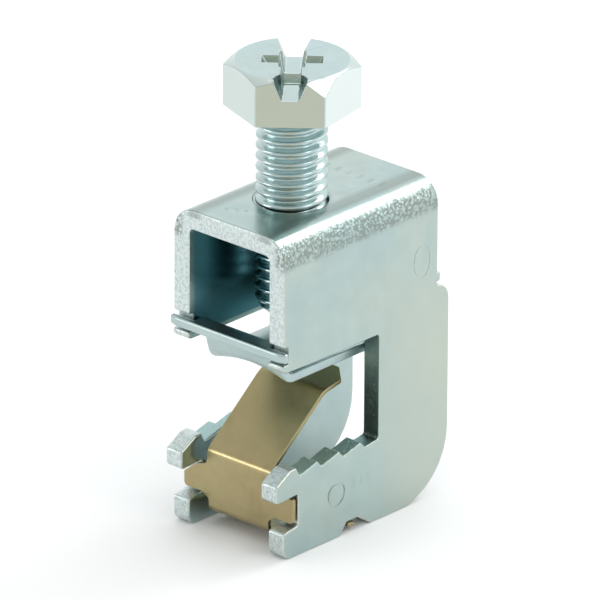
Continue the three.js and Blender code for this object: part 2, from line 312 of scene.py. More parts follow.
@dataclass
class NodeNet:
    """A node tree with short calls for adding nodes and links."""

    tree: bpy.types.NodeTree

    def add(self, kind: str, **settings: object) -> bpy.types.Node:
        """Add a node and set its properties.

        Args:
            kind: Type of the node.
            **settings: Properties of the node.

        Returns:
            The node.
        """
        node = self.tree.nodes.new(kind)
        for name, value in settings.items():
            setattr(node, name, value)
        return node

    def link(self, source: bpy.types.NodeSocket, target: bpy.types.NodeSocket) -> None:
        """Join an output to an input."""
        self.tree.links.new(source, target)

    def feed(self, socket: bpy.types.NodeSocket, value: object) -> None:
        """Give an input its value.

        Args:
            socket: The input.
            value: A socket to link, or a plain value.
        """
        if isinstance(value, bpy.types.NodeSocket):
            self.link(value, socket)
        else:
            socket.default_value = value

    def math(self, operation: str, *values: object, clamp: bool = False) -> bpy.types.NodeSocket:
        """Add a Math node.

        Args:
            operation: Name of the operation.
            *values: Its values in order, each a socket or a number.
            clamp: Whether the result is held between 0 and 1.

        Returns:
            The result's socket.
        """
        node = self.add("ShaderNodeMath", operation=operation, use_clamp=clamp)
        for socket, value in zip(node.inputs, values):
            self.feed(socket, value)
        return node.outputs[0]

    def product(self, first: object, *others: object) -> bpy.types.NodeSocket:
        """Multiply masks with each other.

        Args:
            first: First mask, a socket or a number.
            *others: The other masks.

        Returns:
            The product's socket.
        """
        for other in others:
            first = self.math("MULTIPLY", first, other)
        return first

    def split(self, vector: bpy.types.NodeSocket) -> bpy.types.NodeOutputs:
        """Separate a vector into its X, Y and Z.

        Args:
            vector: The vector's socket.

        Returns:
            Outputs that are found by the name of the axis.
        """
        node = self.add("ShaderNodeSeparateXYZ")
        self.link(vector, node.inputs[0])
        return node.outputs

    def ramp(self, value: bpy.types.NodeSocket, low: float, high: float) -> bpy.types.NodeSocket:
        """Map a range to 0..1 with soft ends.

        Args:
            value: The value's socket.
            low: Value that becomes 0; it may be the larger of the two.
            high: Value that becomes 1.

        Returns:
            The mapped value's socket.
        """
        node = self.add("ShaderNodeMapRange", interpolation_type="SMOOTHSTEP")
        flip = low > high
        node.inputs["From Min"].default_value = min(low, high)
        node.inputs["From Max"].default_value = max(low, high)
        node.inputs["To Min"].default_value = 1.0 if flip else 0.0
        node.inputs["To Max"].default_value = 0.0 if flip else 1.0
        self.link(value, node.inputs["Value"])
        return node.outputs["Result"]

    def mix(self, factor: object, a: object, b: object, blend: str = "MIX") -> bpy.types.NodeSocket:
        """Mix two colours.

        Args:
            factor: Share of the second colour, a socket or a number.
            a: First colour, a socket or four numbers.
            b: Second colour, a socket or four numbers.
            blend: Name of the blend mode.

        Returns:
            The mixed colour's socket.
        """
        node = self.add("ShaderNodeMix", data_type="RGBA", blend_type=blend)
        for index, value in ((0, factor), (6, a), (7, b)):
            self.feed(node.inputs[index], value)
        return node.outputs[2]

    def noise(
        self, vector: bpy.types.NodeSocket, scale: float, detail: float = 3.0, rough: float = 0.5
    ) -> bpy.types.NodeSocket:
        """Add a noise texture.

        Args:
            vector: The coordinate's socket.
            scale: Grains per metre.
            detail: Number of finer layers.
            rough: Strength of each finer layer.

        Returns:
            The noise's socket.
        """
        node = self.add("ShaderNodeTexNoise")
        node.inputs["Scale"].default_value = scale
        node.inputs["Detail"].default_value = detail
        node.inputs["Roughness"].default_value = rough
        self.link(vector, node.inputs["Vector"])
        return node.outputs["Fac"]

    def stretched(
        self, vector: bpy.types.NodeSocket, scale: tuple[float, float, float]
    ) -> bpy.types.NodeSocket:
        """Scale a coordinate along each axis.

        Args:
            vector: The coordinate's socket.
            scale: Factor of each axis.

        Returns:
            The scaled coordinate's socket.
        """
        node = self.add("ShaderNodeMapping")
        node.inputs["Scale"].default_value = scale
        self.link(vector, node.inputs["Vector"])
        return node.outputs["Vector"]


class GroupSpec:
    """A shader node group that is built once and shared by the finishes."""

    name = "group"
    inputs: tuple[tuple[str, str, object], ...] = ()
    outputs: tuple[tuple[str, str], ...] = ()

    def tree(self) -> bpy.types.NodeTree:
        """Build the group on first use.

        Returns:
            The group's tree.
        """
        found = bpy.data.node_groups.get(self.name)
        if found:
            return found
        tree = bpy.data.node_groups.new(self.name, "ShaderNodeTree")
        for label, kind, value in self.inputs:
            socket = tree.interface.new_socket(label, in_out="INPUT", socket_type=kind)
            if value is not None:
                socket.default_value = value
        for label, kind in self.outputs:
            tree.interface.new_socket(label, in_out="OUTPUT", socket_type=kind)
        net = NodeNet(tree)
        self.build(net, net.add("NodeGroupInput"), net.add("NodeGroupOutput"))
        return tree

    def build(self, net: NodeNet, given: bpy.types.Node, result: bpy.types.Node) -> None:
        """Fill the group; each group writes its own."""
        raise NotImplementedError

    def place(self, net: NodeNet, **values: object) -> bpy.types.Node:
        """Put the group in a material.

        Args:
            net: The material's nodes.
            **values: Input values or sockets, with spaces in names as underscores.

        Returns:
            The group node.
        """
        node = net.add("ShaderNodeGroup", node_tree=self.tree())
        for key, value in values.items():
            net.feed(node.inputs[key.replace("_", " ")], value)
        return node


class PlatingTone(GroupSpec):
    """Cloudy tone of a passivated zinc plating: cool and warm patches and a changing gloss."""

    name = "plating_tone"
    inputs = (
        ("Vector", "NodeSocketVector", None),
        ("Base", "NodeSocketColor", (0.5, 0.58, 0.56, 1.0)),
        ("Warm", "NodeSocketColor", (0.6, 0.62, 0.52, 1.0)),
        ("Warm Share", "NodeSocketFloat", 0.5),
        ("Gloss", "NodeSocketFloat", 0.25),
        ("Gloss Change", "NodeSocketFloat", 0.12),
    )
    outputs = (("Color", "NodeSocketColor"), ("Roughness", "NodeSocketFloat"))
    patch_scale = 95.0
    cloud_scale = 420.0
    cloud_contrast = 0.22
    cloud_low = 0.89
    mist_scale = 900.0

    def build(self, net: NodeNet, given: bpy.types.Node, result: bpy.types.Node) -> None:
        """Mix broad warm patches and small clouds into the base colour.

        Args:
            net: The group's nodes.
            given: The group's inputs.
            result: The group's outputs.
        """
        vector = given.outputs["Vector"]
        broad = net.ramp(net.noise(vector, self.patch_scale, 2.0), 0.45, 0.72)
        warm = net.math("MULTIPLY", broad, given.outputs["Warm Share"])
        tinted = net.mix(warm, given.outputs["Base"], given.outputs["Warm"])
        clouds = net.noise(vector, self.cloud_scale, 4.0, 0.6)
        shade = net.math("MULTIPLY_ADD", clouds, self.cloud_contrast, self.cloud_low)
        lit = net.add("ShaderNodeVectorMath", operation="SCALE")
        net.link(tinted, lit.inputs[0])
        net.link(shade, lit.inputs["Scale"])
        net.link(lit.outputs[0], result.inputs["Color"])
        mist = net.math("SUBTRACT", net.noise(vector, self.mist_scale, 5.0, 0.65), 0.4)
        change = net.product(mist, given.outputs["Gloss Change"])
        net.link(net.math("ADD", given.outputs["Gloss"], change), result.inputs["Roughness"])


class CutEdge(GroupSpec):
    """Marks the sheared edges of a sheet and the rims beside them, and gives their grain."""

    name = "cut_edge"
    inputs = (
        ("Vector", "NodeSocketVector", None),
        ("Wall Top", "NodeSocketFloat", 0.033),
    )
    outputs = (
        ("Mask", "NodeSocketFloat"),
        ("Rim", "NodeSocketFloat"),
        ("Height", "NodeSocketFloat"),
        ("Value", "NodeSocketFloat"),
    )
    streak_scale = 3300.0
    pit_scale = 2600.0

    def build(self, net: NodeNet, given: bpy.types.Node, result: bpy.types.Node) -> None:
        """Find faces that look along the sheet, by their direction and height.

        Args:
            net: The group's nodes.
            given: The group's inputs.
            result: The group's outputs.
        """
        vector = given.outputs["Vector"]
        facing = net.split(net.add("ShaderNodeNewGeometry").outputs["Normal"])
        ends = net.ramp(net.math("ABSOLUTE", facing["Y"]), 0.6, 0.9)
        level = net.ramp(net.math("ABSOLUTE", facing["Z"]), 0.6, 0.9)
        below = net.math("LESS_THAN", net.split(vector)["Z"], given.outputs["Wall Top"])
        mask = net.math("MAXIMUM", ends, net.product(level, below))
        net.link(mask, result.inputs["Mask"])
        slant = net.math("ABSOLUTE", facing["X"])
        rim = net.product(net.ramp(slant, 0.25, 0.5), net.ramp(slant, 0.98, 0.85), below)
        net.link(rim, result.inputs["Rim"])
        drawn = net.stretched(vector, (1.0, 1.0, 0.6))
        streaks = net.noise(drawn, self.streak_scale, 4.0, 0.75)
        pits = net.ramp(net.noise(vector, self.pit_scale, 3.0), 0.56, 0.70)
        height = net.math("SUBTRACT", streaks, net.product(pits, 0.7))
        net.link(height, result.inputs["Height"])
        bright = net.ramp(streaks, 0.3, 0.6)
        value = net.math("SUBTRACT", bright, net.product(pits, 0.5), clamp=True)
        net.link(value, result.inputs["Value"])


class BendPeel(GroupSpec):
    """Orange peel that thick sheet gets where a tight bend stretches its outside."""

    name = "bend_peel"
    inputs = (
        ("Vector", "NodeSocketVector", None),
        ("Top", "NodeSocketFloat", 0.037),
        ("Side", "NodeSocketFloat", 0.008),
    )
    outputs = (("Mask", "NodeSocketFloat"), ("Height", "NodeSocketFloat"))
    upper_fade = (0.55 * MM, 1.1 * MM)
    lower_fade = (3.9 * MM, 2.8 * MM)
    inner_fade = (-1.6 * MM, -0.9 * MM)
    grain_scale = 2600.0
    cell_scale = 3000.0

    def build(self, net: NodeNet, given: bpy.types.Node, result: bpy.types.Node) -> None:
        """Limit coarse grains to a band along each outer bend.

        Args:
            net: The group's nodes.
            given: The group's inputs.
            result: The group's outputs.
        """
        vector = given.outputs["Vector"]
        place = net.split(vector)
        drop = net.math("SUBTRACT", given.outputs["Top"], place["Z"])
        band = net.product(net.ramp(drop, *self.upper_fade), net.ramp(drop, *self.lower_fade))
        across = net.math("SUBTRACT", net.math("ABSOLUTE", place["X"]), given.outputs["Side"])
        net.link(net.product(band, net.ramp(across, *self.inner_fade)), result.inputs["Mask"])
        coarse = net.noise(vector, self.grain_scale, 4.0, 0.6)
        cell = net.add("ShaderNodeTexVoronoi", feature="SMOOTH_F1")
        cell.inputs["Scale"].default_value = self.cell_scale
        net.link(vector, cell.inputs["Vector"])
        net.link(net.math("ADD", coarse, cell.outputs["Distance"]), result.inputs["Height"])


class ChamberShade(GroupSpec):
    """Paints shade deep inside a box."""

    name = "chamber_painted_shade"
    inputs = (
        ("Vector", "NodeSocketVector", None),
        ("Half Width", "NodeSocketFloat", 0.006),
        ("Floor", "NodeSocketFloat", 0.02),
        ("Ceiling", "NodeSocketFloat", 0.035),
        ("Front", "NodeSocketFloat", -0.0127),
        ("Back", "NodeSocketFloat", 0.012),
    )
    outputs = (("Mask", "NodeSocketFloat"),)
    front_fade = (0.1 * MM, 1.2 * MM)
    back_fade = (0.1 * MM, 2.0 * MM)

    def build(self, net: NodeNet, given: bpy.types.Node, result: bpy.types.Node) -> None:
        """Multiply soft limits along X, Y and Z.

        Args:
            net: The group's nodes.
            given: The group's inputs.
            result: The group's outputs.
        """
        place = net.split(given.outputs["Vector"])
        across = net.math("ABSOLUTE", place["X"])
        inside = net.math("LESS_THAN", across, given.outputs["Half Width"])
        over = net.math("GREATER_THAN", place["Z"], given.outputs["Floor"])
        under = net.math("LESS_THAN", place["Z"], given.outputs["Ceiling"])
        behind = net.math("SUBTRACT", place["Y"], given.outputs["Front"])
        ahead = net.math("SUBTRACT", given.outputs["Back"], place["Y"])
        ends = (net.ramp(behind, *self.front_fade), net.ramp(ahead, *self.back_fade))
        net.link(net.product(inside, over, under, *ends), result.inputs["Mask"])


class RollLines(GroupSpec):
    """Fine parallel lines that rolling leaves on strip, and scattered handling scratches."""

    name = "roll_lines"
    inputs = (("Vector", "NodeSocketVector", None), ("Depth", "NodeSocketFloat", 1.0))
    outputs = (("Height", "NodeSocketFloat"), ("Value", "NodeSocketFloat"))
    line_scale = 3800.0
    scratch_scale = 1500.0

    def build(self, net: NodeNet, given: bpy.types.Node, result: bpy.types.Node) -> None:
        """Stretch noise along the strip.

        Args:
            net: The group's nodes.
            given: The group's inputs.
            result: The group's outputs.
        """
        along = net.stretched(given.outputs["Vector"], (1.0, 0.06, 0.06))
        lines = net.noise(along, self.line_scale, 3.0, 0.7)
        across = net.stretched(given.outputs["Vector"], (0.1, 0.8, 0.8))
        scratches = net.noise(across, self.scratch_scale, 4.0, 0.6)
        value = net.math("ADD", net.product(lines, 0.65), net.product(scratches, 0.35))
        net.link(value, result.inputs["Value"])
        net.link(net.product(value, given.outputs["Depth"]), result.inputs["Height"])


# ---------------------------------------------------------------------------------------------
# Finishes
# ---------------------------------------------------------------------------------------------


@dataclass(frozen=True)
class Finish:
    """A metal surface whose details come from the shared node groups."""

    name: str
    base: Colour
    warm: Colour
    warm_share: float
    gloss: float
    gloss_change: float

    def start(self) -> tuple[bpy.types.Material, NodeNet, bpy.types.NodeSocket, bpy.types.Node]:
        """Make the material with its metal shader.

        Returns:
            The material, its nodes, the object coordinate and the shader.
        """
        material = bpy.data.materials.new(self.name)
        material.use_nodes = True
        net = NodeNet(material.node_tree)
        shader = net.tree.nodes["Principled BSDF"]
        shader.inputs["Metallic"].default_value = 1.0
        place = net.add("ShaderNodeTexCoord").outputs["Object"]
        return material, net, place, shader

    def tone(self, net: NodeNet, place: bpy.types.NodeSocket) -> bpy.types.Node:
        """Place the cloudy tone with this finish's values.

        Args:
            net: The material's nodes.
            place: The object coordinate.

        Returns:
            The tone's group node.
        """
        return PlatingTone().place(
            net,
            Vector=place,
            Base=self.base,
            Warm=self.warm,
            Warm_Share=self.warm_share,
            Gloss=self.gloss,
            Gloss_Change=self.gloss_change,
        )

    @staticmethod
    def bump(
        net: NodeNet,
        shader: bpy.types.Node,
        layers: Sequence[tuple[bpy.types.NodeSocket, float, float]],
    ) -> None:
        """Chain bump layers into the shader's normal.

        Args:
            net: The material's nodes.
            shader: The metal shader.
            layers: Height socket, strength and distance in metres of each layer.
        """
        normal = None
        for height, strength, distance in layers:
            node = net.add("ShaderNodeBump")
            node.inputs["Strength"].default_value = strength
            node.inputs["Distance"].default_value = distance
            net.link(height, node.inputs["Height"])
            if normal:
                net.link(normal, node.inputs["Normal"])
            normal = node.outputs["Normal"]
        if normal:
            net.link(normal, shader.inputs["Normal"])


@dataclass(frozen=True)
class BracketZinc(Finish):
    """Bright zinc on sheet steel: smooth sides, grainy cut edges, rough outer bends and painted
    shade.

    Drops run down from the roof, the jaw's depths run back from the chamber's front edge, and
    the painted shade bands beside the bends run inwards from the outer side.
    """

    cut_light: Colour = (0.67, 0.73, 0.72, 1.0)
    cut_dark: Colour = (0.40, 0.49, 0.48, 1.0)
    rim: Colour = (0.60, 0.58, 0.43, 1.0)
    # Painted shade deep inside the chamber.
    painted_shade_inside: Colour = (0.085, 0.265, 0.31, 1.0)
    # Painted shade on the cut faces in the jaw.
    painted_shade_jaw: Colour = (0.33, 0.50, 0.49, 1.0)
    # Speckle of the peeled bands, and painted shade on the roof beside the bends.
    peel_speckle_and_bend_shade: Colour = (0.22, 0.26, 0.235, 1.0)
    # Painted shade on the stop at the back of the jaw.
    painted_shade_stop: Colour = (0.12, 0.18, 0.16, 1.0)

    bend_drop: float = 3.4 * MM
    chamber_depth: float = 14.8 * MM
    skin: float = 0.1 * MM
    jaw_drop: tuple[float, float] = (15.2 * MM, 28.6 * MM)
    jaw_depth: float = 16 * MM
    jaw_fade: tuple[float, float] = (2.2 * MM, 3.4 * MM)
    stop_fade: tuple[float, float] = (14.2 * MM, 15.2 * MM)
    warm_rear_from: tuple[float, float] = (-4 * MM, 10 * MM)
    warm_foot_drop: tuple[float, float] = (2 * MM, 16 * MM)
    # Band of painted shade on the roof beside each bend.
    bend_shade_inner: tuple[float, float] = (4.6 * MM, 3.2 * MM)
    bend_shade_outer: tuple[float, float] = (1.7 * MM, 2.6 * MM)
    bend_shade_drop: float = 0.8 * MM

    def warmed_to_rear_and_foot(
        self,
        net: NodeNet,
        spot: bpy.types.NodeOutputs,
        color: bpy.types.NodeSocket,
        top: float,
        middle: float,
    ) -> bpy.types.NodeSocket:
        """Warm the outer faces of the sides towards the rear and the foot.

        Args:
            net: The material's nodes.
            spot: The object coordinate's axes.
            color: Tone of the plating.
            top: Height of the roof.
            middle: X of the middle of the right wall's sheet.

        Returns:
            The warmed tone.
        """
        outer = net.math("GREATER_THAN", net.math("ABSOLUTE", spot["X"]), middle)
        rear = net.ramp(spot["Y"], *self.warm_rear_from)
        low = net.ramp(spot["Z"], top - self.warm_foot_drop[0], top - self.warm_foot_drop[1])
        # Tone grows lighter and warmer towards the rear and the foot.
        return net.mix(net.product(rear, 0.55, low, outer), color, self.warm)

    def sheared(
        self,
        net: NodeNet,
        spot: bpy.types.NodeOutputs,
        grain: bpy.types.NodeSocket,
        top: float,
        front: float,
    ) -> bpy.types.NodeSocket:
        """Mix the tone of the cut edges: bright outside, with painted shade in the jaw and at its
        stop.

        Args:
            net: The material's nodes.
            spot: The object coordinate's axes.
            grain: Grain of the cut edges.
            top: Height of the roof.
            front: Front edge of the chamber.

        Returns:
            The tone.
        """
        color = net.mix(grain, self.cut_dark, self.cut_light)
        under = net.math("LESS_THAN", spot["Z"], top - self.jaw_drop[0])
        over = net.math("GREATER_THAN", spot["Z"], top - self.jaw_drop[1])
        ahead = net.math("LESS_THAN", spot["Y"], front + self.jaw_depth)
        jaw = net.product(under, over, ahead)
        # Painted shade over the cut faces in the jaw and on its stop.
        for fade, share, painted_shade in (
            (self.jaw_fade, 0.85, self.painted_shade_jaw),
            (self.stop_fade, 0.9, self.painted_shade_stop),
        ):
            reach = net.ramp(spot["Y"], front + fade[0], front + fade[1])
            color = net.mix(net.product(jaw, reach, share), color, painted_shade)
        return color

    def bend_shade_and_peel(
        self,
        net: NodeNet,
        spot: bpy.types.NodeOutputs,
        peel: bpy.types.Node,
        color: bpy.types.NodeSocket,
        top: float,
        side: float,
    ) -> bpy.types.NodeSocket:
        """Paint shade on the roof beside its bends and speckle the peeled bands.

        Args:
            net: The material's nodes.
            spot: The object coordinate's axes.
            peel: The orange peel's group node.
            color: Tone so far.
            top: Height of the roof.
            side: Half the outer width.

        Returns:
            The tone.
        """
        across = net.math("ABSOLUTE", spot["X"])
        inner = net.ramp(across, side - self.bend_shade_inner[0], side - self.bend_shade_inner[1])
        outer = net.ramp(across, side - self.bend_shade_outer[0], side - self.bend_shade_outer[1])
        roof = net.math("GREATER_THAN", spot["Z"], top - self.bend_shade_drop)
        # Painted shade on the roof beside each bend.
        color = net.mix(net.product(inner, outer, roof, 0.55), color, self.peel_speckle_and_bend_shade)
        speckle = net.ramp(peel.outputs["Height"], 0.75, 1.05)
        return net.mix(net.product(speckle, peel.outputs["Mask"], 0.75), color, self.peel_speckle_and_bend_shade)

    def material(
        self, top: float, side: float, wall: float, front: float, back: float
    ) -> bpy.types.Material:
        """Build the bracket's material.

        Args:
            top: Height of the roof.
            side: Half the outer width.
            wall: Sheet thickness.
            front: Front edge of the chamber.
            back: Back edge of the chamber.

        Returns:
            The material.
        """
        material, net, place, shader = self.start()
        tone = self.tone(net, place)
        edge = CutEdge().place(net, Vector=place, Wall_Top=top - self.bend_drop)
        peel = BendPeel().place(net, Vector=place, Top=top, Side=side)
        recess = ChamberShade().place(
            net,
            Vector=place,
            Half_Width=side - wall + self.skin,
            Floor=top - self.chamber_depth,
            Ceiling=top - wall + self.skin,
            Front=front,
            Back=back,
        )
        spot = net.split(place)
        # Tone grows lighter and warmer towards the rear and the foot.
        color = self.warmed_to_rear_and_foot(net, spot, tone.outputs["Color"], top, side - wall / 2)
        color = net.mix(net.product(edge.outputs["Rim"], 0.6), color, self.rim)
        # Cut-edge grain with painted shade in the jaw and on its stop.
        sheared = self.sheared(net, spot, edge.outputs["Value"], top, front)
        color = net.mix(edge.outputs["Mask"], color, sheared)
        # Painted shade beside the bends, and speckle on the peeled bands.
        color = self.bend_shade_and_peel(net, spot, peel, color, top, side)
        # Painted shade deep inside the chamber.
        color = net.mix(net.product(recess.outputs["Mask"], 0.9), color, self.painted_shade_inside)
        net.link(color, shader.inputs["Base Color"])
        rough = net.math("MULTIPLY_ADD", edge.outputs["Mask"], 0.16, tone.outputs["Roughness"])
        net.link(rough, shader.inputs["Roughness"])
        self.bump(
            net,
            shader,
            (
                (net.noise(place, 260.0, 2.0), 0.3, 0.07 * MM),
                (net.product(edge.outputs["Height"], edge.outputs["Mask"]), 0.7, 0.06 * MM),
                (net.product(peel.outputs["Height"], peel.outputs["Mask"]), 1.0, 0.15 * MM),
            ),
        )
        return material


@dataclass(frozen=True)
class ScrewZinc(Finish):
    """Bright zinc on a cold-headed screw, with painted reflections on the flats and the chamfer of
    its head.
    """

    # Painted highlight colours for the side flats and the sloped faces of the head.
    flank_painted_light: Colour = (0.60, 0.665, 0.635, 1.0)
    flank_painted_highlight: Colour = (0.75, 0.81, 0.79, 1.0)

    @staticmethod
    def facing(
        net: NodeNet, normal: bpy.types.NodeSocket, direction: float
    ) -> bpy.types.NodeSocket:
        """Measure how squarely a surface faces a level direction.

        Args:
            net: The material's nodes.
            normal: The surface's normal.
            direction: Direction in the X-Y plane, in radians.

        Returns:
            The cosine between the two.
        """
        node = net.add("ShaderNodeVectorMath", operation="DOT_PRODUCT")
        net.link(normal, node.inputs[0])
        node.inputs[1].default_value = (math.cos(direction), math.sin(direction), 0.0)
        return node.outputs["Value"]

    def material(self, head_low: float, front: float) -> bpy.types.Material:
        """Build the screw's material.

        Args:
            head_low: Height of the head's underside.
            front: Direction that the front flat faces, in radians.

        Returns:
            The material.
        """
        material, net, place, shader = self.start()
        tone = self.tone(net, place)
        normal = net.add("ShaderNodeNewGeometry").outputs["Normal"]
        steep = net.split(normal)["Z"]
        above = net.math("GREATER_THAN", net.split(place)["Z"], head_low)
        color = tone.outputs["Color"]
        # Painted reflections on the head's flats: lighter on the two beside the front, darker and
        # warmer on the front.
        for side, flank_painted_light in ((-1, self.flank_painted_light), (1, self.flank_painted_highlight), (0, self.warm)):
            mask = net.ramp(self.facing(net, normal, front + side * math.pi / 3), 0.93, 0.98)
            color = net.mix(net.product(mask, 0.85), color, flank_painted_light)
        # Painted highlight on the sloped faces of the head, such as the chamfer.
        slope = net.product(net.ramp(steep, 0.99, 0.95), net.ramp(steep, 0.5, 0.6), above)
        color = net.mix(net.product(slope, 0.7), color, self.flank_painted_light)
        net.link(color, shader.inputs["Base Color"])
        net.link(tone.outputs["Roughness"], shader.inputs["Roughness"])
        fine = net.noise(place, 1900.0, 4.0, 0.6)
        dents = net.ramp(net.noise(place, 700.0, 1.0), 0.66, 0.74)
        self.bump(net, shader, ((fine, 0.18, 0.02 * MM), (dents, 0.25, -0.03 * MM)))
        return material


@dataclass(frozen=True)
class PlateZinc(Finish):
    """Satin zinc on the thin pressure plate."""

    def material(self) -> bpy.types.Material:
        """Build the pressure plate's material.

        Returns:
            The material.
        """
        material, net, place, shader = self.start()
        tone = self.tone(net, place)
        net.link(tone.outputs["Color"], shader.inputs["Base Color"])
        net.link(tone.outputs["Roughness"], shader.inputs["Roughness"])
        fine = net.noise(place, 700.0, 3.0)
        self.bump(net, shader, ((fine, 0.2, 0.03 * MM),))
        return material


@dataclass(frozen=True)
class SpringBronze(Finish):
    """Dull greenish bronze strip with rolling lines and stains."""

    stain: Colour = (0.20, 0.165, 0.08, 1.0)
    sheen: Colour = (0.50, 0.46, 0.33, 1.0)

    def material(self) -> bpy.types.Material:
        """Build the spring's material.

        Returns:
            The material.
        """
        material, net, place, shader = self.start()
        tone = self.tone(net, place)
        lines = RollLines().place(net, Vector=place, Depth=1.0)
        stains = net.ramp(net.noise(place, 230.0, 5.0, 0.62), 0.5, 0.75)
        color = net.mix(net.product(stains, 0.35), tone.outputs["Color"], self.stain)
        shade = net.ramp(lines.outputs["Value"], 0.2, 0.8)
        color = net.mix(net.product(shade, 0.12), color, self.sheen)
        net.link(color, shader.inputs["Base Color"])
        net.link(tone.outputs["Roughness"], shader.inputs["Roughness"])
        self.bump(net, shader, ((lines.outputs["Height"], 0.25, 0.012 * MM),))
        return material


# ---------------------------------------------------------------------------------------------
# Sub-assemblies
# ---------------------------------------------------------------------------------------------


@dataclass
class Piece:
    """A finished object with the body it rides on and the slot it takes."""

    obj: bpy.types.Object
    body: Body
    slot: Slot
    nodes: tuple[str, ...]

    def install(self, material: bpy.types.Material) -> None:
        """Dress the piece, hide the CAD nodes that it stands for and log its face count.

        Args:
            material: Finish of the piece.
        """
        self.obj.data.materials.clear()
        self.obj.data.materials.append(material)
        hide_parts(*self.nodes)
        faces = len(self.obj.data.polygons)
        LOG.info("%s: %d faces on %s", self.obj.name, faces, self.body.value)


@dataclass
class Bracket:
    """The bent sheet-steel body, from the CAD shape with its edges rounded and marks stamped in.

    The lip's drops run down from the roof, and the insets from the body's ends to its chamber.
    """

    node: bpy.types.Object
    hole: Vector
    edge_round: float = 0.22 * MM
    wall: float = 2.3 * MM
    hole_radius: float = 4.25 * MM
    lip_radius: float = 4.03 * MM
    lip_drop: tuple[float, float] = (1.0 * MM, 0.1 * MM)
    lip_shift: tuple[float, float] = (0.09 * MM, 0.02 * MM)
    front_inset: float = 1.15 * MM
    back_inset: float = 1.9 * MM
    mark_depth: float = 0.09 * MM
    mark_width: float = 0.8 * MM

    def bar(self, length: float, width: float) -> bmesh.types.BMesh:
        """Make the punch of a straight mark along Y, which narrows towards its end.

        Args:
            length: Length along Y.
            width: Width along X.

        Returns:
            The punch, with its end at height 0.
        """
        u, v = width / 2, length / 2
        corner = 0.45 * width
        outline = filleted(((-u, -v, corner), (u, -v, corner), (u, v, corner), (-u, v, corner)), 4)
        bm = extruded(outline, 2 * self.mark_depth)
        deep = [vert for vert in bm.verts if vert.co.z < self.mark_depth]
        bmesh.ops.scale(bm, verts=deep, vec=(0.25, 1.0 - 0.75 * width / length, 1.0))
        return bm

    def roof_marks(self) -> Iterable[tuple[bmesh.types.BMesh, Vector]]:
        """List the punches of the roof: a row at the back and two short rows at the front.

        Returns:
            Each punch with the place on the roof where it strikes.
        """
        for column in range(6):
            x = -3.4 + 1.6 * column
            yield self.bar(1.5 * MM, self.mark_width), Vector((x, 6.6, 0.0)) * MM
        for x, y in ((-3.0, -9.9), (-2.0, -9.3), (-1.0, -8.9)):
            yield self.bar(0.95 * MM, 0.9 * MM), Vector((x, y, 0.0)) * MM
        for x in (1.4, 2.9):
            yield self.bar(1.1 * MM, self.mark_width), Vector((x, -8.7, 0.0)) * MM

    def side_marks(self) -> Iterable[tuple[bmesh.types.BMesh, Vector]]:
        """List the punches of the right side: a ring, three bars and a large shallow oval.

        Returns:
            Each punch with the place where it strikes; x runs back, y up and z out.
        """
        height = 2 * self.mark_depth
        circle = ring((1.45 * MM, 1.45 * MM), (1.15 * MM, 1.15 * MM), 0.0, height)
        yield circle, Vector((-4.3, 5.2, 0.0)) * MM
        for x in (-1.3, -0.2, 0.9):
            yield self.bar(2.2 * MM, self.mark_width), Vector((x, 5.4, 0.0)) * MM
        oval = ring((1.35 * MM, 2.0 * MM), (1.2 * MM, 1.85 * MM), 0.0, height)
        yield oval, Vector((9.3 * MM, 28.4 * MM, 0.7 * self.mark_depth))

    def stamp(self, obj: bpy.types.Object, roof: float, side: float) -> None:
        """Strike every mark into the bracket.

        Args:
            obj: The bracket.
            roof: Height of the roof.
            side: X of the right outer face.
        """
        for bm, place in self.roof_marks():
            place.z += roof - self.mark_depth
            bmesh.ops.translate(bm, verts=bm.verts, vec=place)
            cut(obj, mesh_object("roof_punch", bm))
        upright = Matrix(((0.0, 0.0, 1.0), (1.0, 0.0, 0.0), (0.0, 1.0, 0.0)))
        for bm, place in self.side_marks():
            bmesh.ops.translate(bm, verts=bm.verts, vec=place)
            bmesh.ops.rotate(bm, verts=bm.verts, matrix=upright)
            bmesh.ops.translate(bm, verts=bm.verts, vec=(side - self.mark_depth, 0.0, 0.0))
            cut(obj, mesh_object("side_punch", bm))

    def lip(self, roof: float) -> bpy.types.Object:
        """Close most of the gap around the screw with the first turn of the hole's thread.

        Args:
            roof: Height of the roof.

        Returns:
            The lip.
        """
        outer = (self.hole_radius, self.hole_radius)
        inner = (self.lip_radius, self.lip_radius)
        bm = ring(outer, inner, roof - self.lip_drop[0], roof - self.lip_drop[1])
        bmesh.ops.translate(bm, verts=bm.verts, vec=self.hole + Vector((*self.lip_shift, 0.0)))
        return mesh_object("bracket_hole_lip", bm)

    def build(self) -> list[Piece]:
        """Round the edges, stamp the marks and add the lip of the hole.

        Returns:
            The body and the lip.
        """
        _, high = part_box("bracket")
        bm = copy_of_node(self.node)
        round_edges(bm, self.edge_round)
        obj = mesh_object("bracket_body", bm)
        self.stamp(obj, high.z, high.x)
        weigh_normals(obj)
        pieces = []
        for part in (obj, self.lip(high.z)):
            part.data.set_sharp_from_angle(angle=SHARP_TURN)
            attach(part, Body.FRAME.value)
            pieces.append(Piece(part, Body.FRAME, Slot.BRACKET, ("bracket",)))
        return pieces

    def dress(self, pieces: Sequence[Piece]) -> None:
        """Give the bracket its zinc finish.

        Args:
            pieces: The body and the lip.
        """
        low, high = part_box("bracket")
        finish = BracketZinc(
            "bright_zinc_bracket",
            base=(0.405, 0.512, 0.502, 1.0),
            warm=(0.53, 0.56, 0.475, 1.0),
            warm_share=0.35,
            gloss=0.22,
            gloss_change=0.14,
        )
        front = low.y + self.front_inset
        back = high.y - self.back_inset
        material = finish.material(high.z, high.x, self.wall, front, back)
        for piece in pieces:
            piece.install(material)


